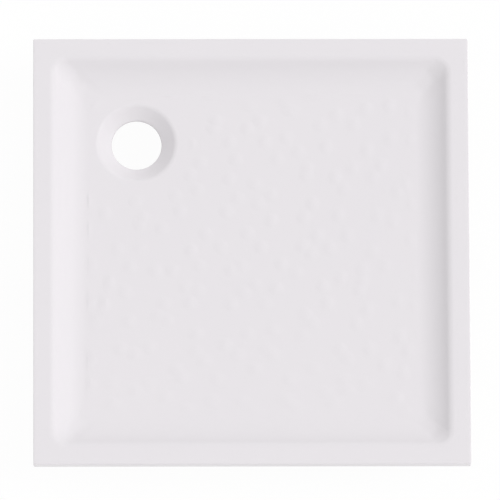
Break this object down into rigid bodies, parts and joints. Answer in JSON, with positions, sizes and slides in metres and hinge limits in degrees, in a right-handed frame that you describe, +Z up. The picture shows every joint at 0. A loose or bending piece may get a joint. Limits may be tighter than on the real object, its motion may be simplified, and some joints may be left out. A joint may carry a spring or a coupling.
{
  "type": "shower tray",
  "caption": "Square white formed shower tray with a shallow basin, a corner waste hole in a conical dish, a backed underside and screw-adjusted legs.",
  "frame": {"origin": "on the floor under the middle of the tray, at the underside of the foot pads", "axes": "+Z up, +X to the tray's right and +Y to its back as seen in the picture, with the waste hole at back left"},
  "size_m": [0.8, 0.8, 0.15],
  "materials": {
    "white_acrylic": "glossy white",
    "glass_fibre_resin": "rough sprayed resin",
    "chipboard": "moisture-resistant chipboard",
    "softwood": "sawn softwood",
    "socket_nylon": "moulded black nylon",
    "foot_nylon": "moulded black nylon",
    "zinc_steel": "bright zinc plated",
    "pad_rubber": "matt rubber"
  },
  "bodies": {
    "tray": {"acrylic_shell": "white_acrylic", "grp_reinforcement": "glass_fibre_resin", "base_board": "chipboard", "front_batten": "softwood", "back_batten": "softwood", "left_batten": "softwood", "right_batten": "softwood", "leg_socket_front_left": "socket_nylon", "captive_nut_front_left": "zinc_steel", "socket_screws_front_left": "zinc_steel", "leg_socket_front_right": "socket_nylon", "captive_nut_front_right": "zinc_steel", "socket_screws_front_right": "zinc_steel", "leg_socket_back_left": "socket_nylon", "captive_nut_back_left": "zinc_steel", "socket_screws_back_left": "zinc_steel", "leg_socket_back_right": "socket_nylon", "captive_nut_back_right": "zinc_steel", "socket_screws_back_right": "zinc_steel", "leg_socket_centre": "socket_nylon", "captive_nut_centre": "zinc_steel", "socket_screws_centre": "zinc_steel"},
    "foot_body_front_left": {"foot_front_left": "foot_nylon", "foot_pad_front_left": "pad_rubber"},
    "spindle_body_front_left": {"spindle_front_left": "zinc_steel"},
    "washer_body_front_left": {"washer_front_left": "zinc_steel"},
    "lock_nut_body_front_left": {"lock_nut_front_left": "zinc_steel"},
    "foot_body_front_right": {"foot_front_right": "foot_nylon", "foot_pad_front_right": "pad_rubber"},
    "spindle_body_front_right": {"spindle_front_right": "zinc_steel"},
    "washer_body_front_right": {"washer_front_right": "zinc_steel"},
    "lock_nut_body_front_right": {"lock_nut_front_right": "zinc_steel"},
    "foot_body_back_left": {"foot_back_left": "foot_nylon", "foot_pad_back_left": "pad_rubber"},
    "spindle_body_back_left": {"spindle_back_left": "zinc_steel"},
    "washer_body_back_left": {"washer_back_left": "zinc_steel"},
    "lock_nut_body_back_left": {"lock_nut_back_left": "zinc_steel"},
    "foot_body_back_right": {"foot_back_right": "foot_nylon", "foot_pad_back_right": "pad_rubber"},
    "spindle_body_back_right": {"spindle_back_right": "zinc_steel"},
    "washer_body_back_right": {"washer_back_right": "zinc_steel"},
    "lock_nut_body_back_right": {"lock_nut_back_right": "zinc_steel"},
    "foot_body_centre": {"foot_centre": "foot_nylon", "foot_pad_centre": "pad_rubber"},
    "spindle_body_centre": {"spindle_centre": "zinc_steel"},
    "washer_body_centre": {"washer_centre": "zinc_steel"},
    "lock_nut_body_centre": {"lock_nut_centre": "zinc_steel"}
  },
  "joints": [
    {"name": "height_front_left", "type": "slide", "parent": "tray", "child": "foot_body_front_left", "axis": [0, 0, 1], "range_m": [-0.025, 0.004]},
    {"name": "spindle_turn_front_left", "type": "hinge", "parent": "foot_body_front_left", "child": "spindle_body_front_left", "pos_m": [-0.305, -0.305, 0.024], "axis": [0, 0, 1], "range_deg": [-5150, 830]},
    {"name": "washer_drop_front_left", "type": "slide", "parent": "tray", "child": "washer_body_front_left", "axis": [0, 0, 1], "range_m": [-0.004, 0]},
    {"name": "lock_nut_turn_front_left", "type": "hinge", "parent": "washer_body_front_left", "child": "lock_nut_body_front_left", "pos_m": [-0.305, -0.305, 0.0485], "axis": [0, 0, 1], "range_deg": [-830, 0]},
    {"name": "height_front_right", "type": "slide", "parent": "tray", "child": "foot_body_front_right", "axis": [0, 0, 1], "range_m": [-0.025, 0.004]},
    {"name": "spindle_turn_front_right", "type": "hinge", "parent": "foot_body_front_right", "child": "spindle_body_front_right", "pos_m": [0.305, -0.305, 0.024], "axis": [0, 0, 1], "range_deg": [-5150, 830]},
    {"name": "washer_drop_front_right", "type": "slide", "parent": "tray", "child": "washer_body_front_right", "axis": [0, 0, 1], "range_m": [-0.004, 0]},
    {"name": "lock_nut_turn_front_right", "type": "hinge", "parent": "washer_body_front_right", "child": "lock_nut_body_front_right", "pos_m": [0.305, -0.305, 0.0485], "axis": [0, 0, 1], "range_deg": [-830, 0]},
    {"name": "height_back_left", "type": "slide", "parent": "tray", "child": "foot_body_back_left", "axis": [0, 0, 1], "range_m": [-0.025, 0.004]},
    {"name": "spindle_turn_back_left", "type": "hinge", "parent": "foot_body_back_left", "child": "spindle_body_back_left", "pos_m": [-0.305, 0.305, 0.024], "axis": [0, 0, 1], "range_deg": [-5150, 830]},
    {"name": "washer_drop_back_left", "type": "slide", "parent": "tray", "child": "washer_body_back_left", "axis": [0, 0, 1], "range_m": [-0.004, 0]},
    {"name": "lock_nut_turn_back_left", "type": "hinge", "parent": "washer_body_back_left", "child": "lock_nut_body_back_left", "pos_m": [-0.305, 0.305, 0.0485], "axis": [0, 0, 1], "range_deg": [-830, 0]},
    {"name": "height_back_right", "type": "slide", "parent": "tray", "child": "foot_body_back_right", "axis": [0, 0, 1], "range_m": [-0.025, 0.004]},
    {"name": "spindle_turn_back_right", "type": "hinge", "parent": "foot_body_back_right", "child": "spindle_body_back_right", "pos_m": [0.305, 0.305, 0.024], "axis": [0, 0, 1], "range_deg": [-5150, 830]},
    {"name": "washer_drop_back_right", "type": "slide", "parent": "tray", "child": "washer_body_back_right", "axis": [0, 0, 1], "range_m": [-0.004, 0]},
    {"name": "lock_nut_turn_back_right", "type": "hinge", "parent": "washer_body_back_right", "child": "lock_nut_body_back_right", "pos_m": [0.305, 0.305, 0.0485], "axis": [0, 0, 1], "range_deg": [-830, 0]},
    {"name": "height_centre", "type": "slide", "parent": "tray", "child": "foot_body_centre", "axis": [0, 0, 1], "range_m": [-0.025, 0.004]},
    {"name": "spindle_turn_centre", "type": "hinge", "parent": "foot_body_centre", "child": "spindle_body_centre", "pos_m": [0, 0, 0.024], "axis": [0, 0, 1], "range_deg": [-5150, 830]},
    {"name": "washer_drop_centre", "type": "slide", "parent": "tray", "child": "washer_body_centre", "axis": [0, 0, 1], "range_m": [-0.004, 0]},
    {"name": "lock_nut_turn_centre", "type": "hinge", "parent": "washer_body_centre", "child": "lock_nut_body_centre", "pos_m": [0, 0, 0.0485], "axis": [0, 0, 1], "range_deg": [-830, 0]}
  ],
  "couplings": [
    {"joint": "spindle_turn_front_left", "follows": "height_front_left", "rad_per_m": 3590.4},
    {"joint": "lock_nut_turn_front_left", "follows": "washer_drop_front_left", "rad_per_m": 3590.4},
    {"joint": "spindle_turn_front_right", "follows": "height_front_right", "rad_per_m": 3590.4},
    {"joint": "lock_nut_turn_front_right", "follows": "washer_drop_front_right", "rad_per_m": 3590.4},
    {"joint": "spindle_turn_back_left", "follows": "height_back_left", "rad_per_m": 3590.4},
    {"joint": "lock_nut_turn_back_left", "follows": "washer_drop_back_left", "rad_per_m": 3590.4},
    {"joint": "spindle_turn_back_right", "follows": "height_back_right", "rad_per_m": 3590.4},
    {"joint": "lock_nut_turn_back_right", "follows": "washer_drop_back_right", "rad_per_m": 3590.4},
    {"joint": "spindle_turn_centre", "follows": "height_centre", "rad_per_m": 3590.4},
    {"joint": "lock_nut_turn_centre", "follows": "washer_drop_centre", "rad_per_m": 3590.4}
  ]
}
